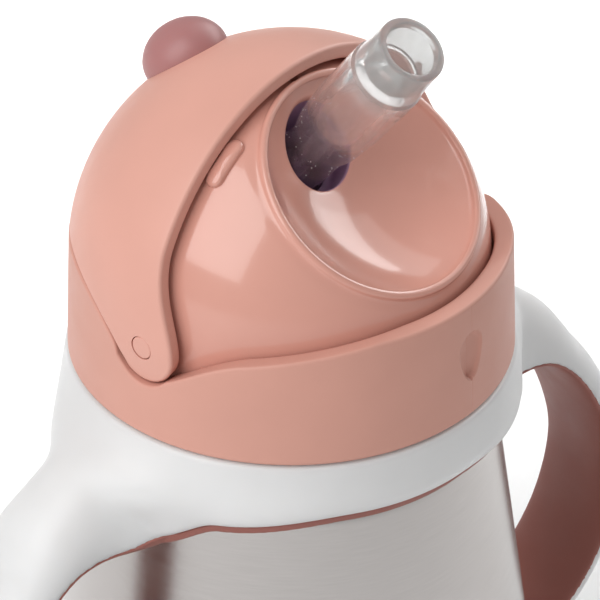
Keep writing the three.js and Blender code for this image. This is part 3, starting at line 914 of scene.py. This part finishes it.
# ---- Hood ----
def hood_outline(steps_side=130):
    """Points on the unit sphere round the hood's edge, evenly spaced."""
    rear, arc, front = hood_edge(0)
    back = math.sqrt(HOOD_R**2 - HOOD_REAR**2)
    top = math.sqrt(HOOD_R**2 - HOOD_FRONT**2)
    side = [[y, HOOD_REAR] for y in np.linspace(back, 0.026, 60)]
    side += np.vstack((rear[1:], arc[1:], front[1:-1])).tolist()
    side += [[HOOD_FRONT, z] for z in np.linspace(0.017, top, 90)]
    side = np.array(side)
    x = np.sqrt(np.clip(HOOD_R**2 - (side**2).sum(1), 0, None))
    right = np.column_stack((x, side))
    steps = np.linalg.norm(np.diff(right, axis=0), axis=1)
    length = np.concatenate(([0], np.cumsum(steps)))
    even = np.linspace(0, length[-1], steps_side)
    right = np.column_stack([np.interp(even, length, right[:, i]) for i in range(3)])
    left = right[1:-1][::-1] * [-1, 1, 1]
    whole = np.vstack((right, left))
    return whole / np.linalg.norm(whole, axis=1)[:, None]


def hood():
    outline = hood_outline()
    centre = np.array([0, math.sin(HOOD_CROWN), math.cos(HOOD_CROWN)])
    ahead = np.roll(outline, -1, 0) - np.roll(outline, 1, 0)
    inward = np.cross(outline, ahead)
    inward /= np.linalg.norm(inward, axis=1)[:, None]
    if (inward * (centre - outline)).sum() < 0:
        inward = -inward

    def ring(radius, inset):
        moved = outline * radius + inward * inset
        return moved / np.linalg.norm(moved, axis=1)[:, None] * radius

    def towards(border, radius, share):
        mixed = border / radius * share + centre * (1 - share)
        return mixed / np.linalg.norm(mixed, axis=1)[:, None] * radius

    soft = 0.0007
    inner_soft = 0.0005
    outer = ring(HOOD_R, soft)
    inner = ring(HOOD_IN_R, inner_soft)
    loops = [towards(outer, HOOD_R, share) for share in np.linspace(0.0, 1, 40)]
    for a in np.radians([15, 30, 45, 60, 75, 90]):
        loops.append(ring(HOOD_R - soft * (1 - math.cos(a)), soft * (1 - math.sin(a))))
    for a in np.radians([90, 60, 30, 0]):
        radius = HOOD_IN_R + inner_soft * (1 - math.cos(a))
        loops.append(ring(radius, inner_soft * (1 - math.sin(a))))
    loops += [towards(inner, HOOD_IN_R, share) for share in np.linspace(1, 0.0, 40)]
    points, faces = loft(loops)
    shell = bare_object("hood_shell", (points + np.array(PIVOT), faces))
    cut(shell, disc(PIN_R, -0.045, 0.045, 0, ALONG_X))
    finished(shell, hood_mat, "hood", "pink_hood", "hood", sharp=60)


def hood_knob():
    place = leaning(PIVOT, math.pi - math.radians(51.5)) @ Matrix.Translation((0, 0, 0.0369))
    angle = np.linspace(-math.pi / 2, math.pi / 2, 49)
    profile = [[math.cos(a), math.sin(a)] for a in angle]
    size = Matrix.Diagonal((0.0072, 0.0080, 0.0064, 1))
    ball = bare_object("knob", turned(profile, place @ size))
    finished(ball, knob_mat, "hood", "mauve_knob", "hood_knob")


def pins():
    for side, name in ((-1, "left"), (1, "right")):
        ends = sorted((side * PIN_IN, side * PIN_OUT))
        pin = bare_object("pin_" + name, disc(PIN_R - 0.00012, *ends, 0.0003, ALONG_X))
        finished(pin, pin_mat, "lid", "pink_pin", "pivot_pin_" + name)


# ---- Spout and straw ----
def bubbles(count):
    """Specks caught in the skin of the spout's root, drawn near-white as painted glints."""
    dice = np.random.default_rng(5)
    angle = np.linspace(-math.pi / 2, math.pi / 2, 5)
    skins = []
    for _ in range(count):
        height = dice.uniform(-0.005, 0.008)
        turn = dice.uniform(0, 2 * math.pi)
        size = dice.uniform(0.00005, 0.00011)
        radius = np.interp(height, mm([0.5, 4.5, 12]), mm([4.85, 5.85, 6.45]))
        place = SPOUT_FRAME @ Matrix.Translation(
            (radius * math.cos(turn), radius * math.sin(turn), height)
        )
        skins.append(turned(size * np.column_stack((np.cos(angle), np.sin(angle))), place, 8))
    return skins


def spout():
    corners = [
        [9, -11, 0.3], [9, -9.4, 0.3], [4.6, -9.4, 0.2], [4.6, -7.2, 0.2], [4.9, -5, 1],
        [4.9, 0.5, 3], [5.9, 4.5, 4], [6.5, 12, 5], [6.5, 23.8, 0.5], [6.15, 24.4, 0.4],
        [5.8, 30, 2], [5.8, 32, 0.5], [4.6, 32, 0.5], [4.3, 31, 0.6], [4.1, 24.7, 0.6],
        [1.4, 24.2, 0.4], [1.2, 23, 0.4], [3.6, 22, 1.2], [3.9, 10, 3], [3.6, 6.4, 1.8],
        [1.8, 4.6, 1.2], [1.6, -11, 0.2],
    ]
    tube = bare_object("spout_tube", turned(rounded(mm(corners), 6), SPOUT_FRAME, 128))
    finished(tube, clear_mat, None, "clear_silicone", "spout", sharp=70)
    inward = SPOUT_FRAME.inverted()
    whole = SPOUT_LENGTH + SPOUT_BELOW
    along = [((inward @ v.co).z + SPOUT_BELOW) / whole for v in tube.data.vertices]
    tube.data.attributes.new("along", "FLOAT", "POINT").data.foreach_set("value", along)
    specks = bare_object("spout_bubbles", *bubbles(60))
    finished(specks, speck_glint_mat, None, "clear_silicone")
    for obj in (tube, specks):
        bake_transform(obj)


def straw():
    middle = (STRAW_LOW + STRAW_HIGH) / 2
    outer = (STRAW_HIGH.x - STRAW_LOW.x) / 2
    place = Matrix.Translation((middle.x, middle.y, 0))
    tube = bare_object("straw", tube_ring(outer, outer - 0.001, STRAW_LOW.z, STRAW_HIGH.z, 0.0003, place))
    finished(tube, milky_mat, "lid", "straw_silicone", "straw_tube")
    seal = tube_ring(SEAL_HIGH.x, 0.0275, SEAL_LOW.z, SEAL_HIGH.z, 0.0006)
    finished(bare_object("seal", seal), seal_mat, "lid", "seal_silicone", "lid_seal")


def carried_over():
    """Gives the CAD nodes that stay their materials."""
    for name, material in (
        ("vacuum_seal", seal_metal_mat), ("getter_pill", getter_mat), ("spout_retainer", inner_mat),
        ("straw_adapter", milky_mat), ("vent_valve", seal_mat),
    ):
        node = frame["nodes"][name]
        node.data.materials.clear()
        node.data.materials.append(material)


# ---- Room ----
def floor_paint():
    mat, shader = surface("floor_paint", (0.93, 0.93, 0.93), 0.8)
    place = add_node(mat, "ShaderNodeTexCoord").outputs["Object"]
    bump(mat, shader, noise(mat, place, 400.0), 0.00001)
    return mat


def room():
    floor = bare_object("floor", loft(with_caps([mm([[-4000, -4000, -30], [4000, -4000, -30],
                                                     [4000, 4000, -30], [-4000, 4000, -30]]),
                                                 mm([[-4000, -4000, 0], [4000, -4000, 0],
                                                     [4000, 4000, 0], [-4000, 4000, 0]])])))
    floor.data.materials.append(floor_paint())


def softbox(name, azimuth, elevation, distance, width, height, power, colour=(1, 1, 1)):
    """A rectangular lamp that faces the lid. Azimuth turns from -Y towards +X."""
    target = Vector((0, 0, 0.11))
    a, e = math.radians(azimuth), math.radians(elevation)
    away = Vector((math.sin(a) * math.cos(e), -math.cos(a) * math.cos(e), math.sin(e)))
    lamp = bpy.data.lights.new(name, "AREA")
    lamp.shape = "RECTANGLE"
    lamp.size = width
    lamp.size_y = height
    lamp.energy = power
    lamp.color = colour
    obj = bpy.data.objects.new(name, lamp)
    obj.location = target + away * distance
    obj.rotation_euler = away.to_track_quat("Z", "Y").to_euler()
    bpy.context.scene.collection.objects.link(obj)
    return obj


def lights():
    world = bpy.data.worlds.new("studio")
    world.use_nodes = True
    background = world.node_tree.nodes["Background"]
    background.inputs["Color"].default_value = (1, 1, 1, 1)
    background.inputs["Strength"].default_value = 0.38
    bpy.context.scene.world = world
    softbox("key", -98, 40, 0.9, 0.70, 0.92, 6.2)
    softbox("fill", 95, 40, 0.9, 0.80, 0.60, 1.75)
    core = softbox("core", 82, 28, 0.9, 0.84, 0.42, 4.0)
    core.visible_diffuse = False
    backdrop = softbox("backdrop", 0, 0, 0.9, 0.5, 0.5, 1.5)
    backdrop.location = Vector((0.35, 0.30, 0.5))
    backdrop.rotation_euler = (0, 0, 0)
    backdrop.data.spread = math.radians(80)
    backdrop.visible_glossy = False


def camera():
    target = Vector((0, 0, 0.098))
    elevation = math.radians(34.97)
    azimuth = math.radians(-49.55)
    away = Vector((math.sin(azimuth) * math.cos(elevation), -math.cos(azimuth) * math.cos(elevation),
                   math.sin(elevation)))
    lens = bpy.data.cameras.new("camera")
    lens.lens = 211.8
    lens.sensor_width = 36
    lens.shift_x = 0.01447
    lens.shift_y = 0.0528
    lens.clip_start = 0.01
    obj = bpy.data.objects.new("camera", lens)
    obj.location = target + away * 0.6
    obj.rotation_euler = away.to_track_quat("Z", "Y").to_euler()
    bpy.context.scene.collection.objects.link(obj)
    bpy.context.scene.camera = obj


steel_cup()
handles()
lid_ring()
lid_dome()
hood()
hood_knob()
pins()
spout()
straw()
carried_over()
room()
lights()
camera()
bpy.context.scene.view_settings.view_transform = "Standard"
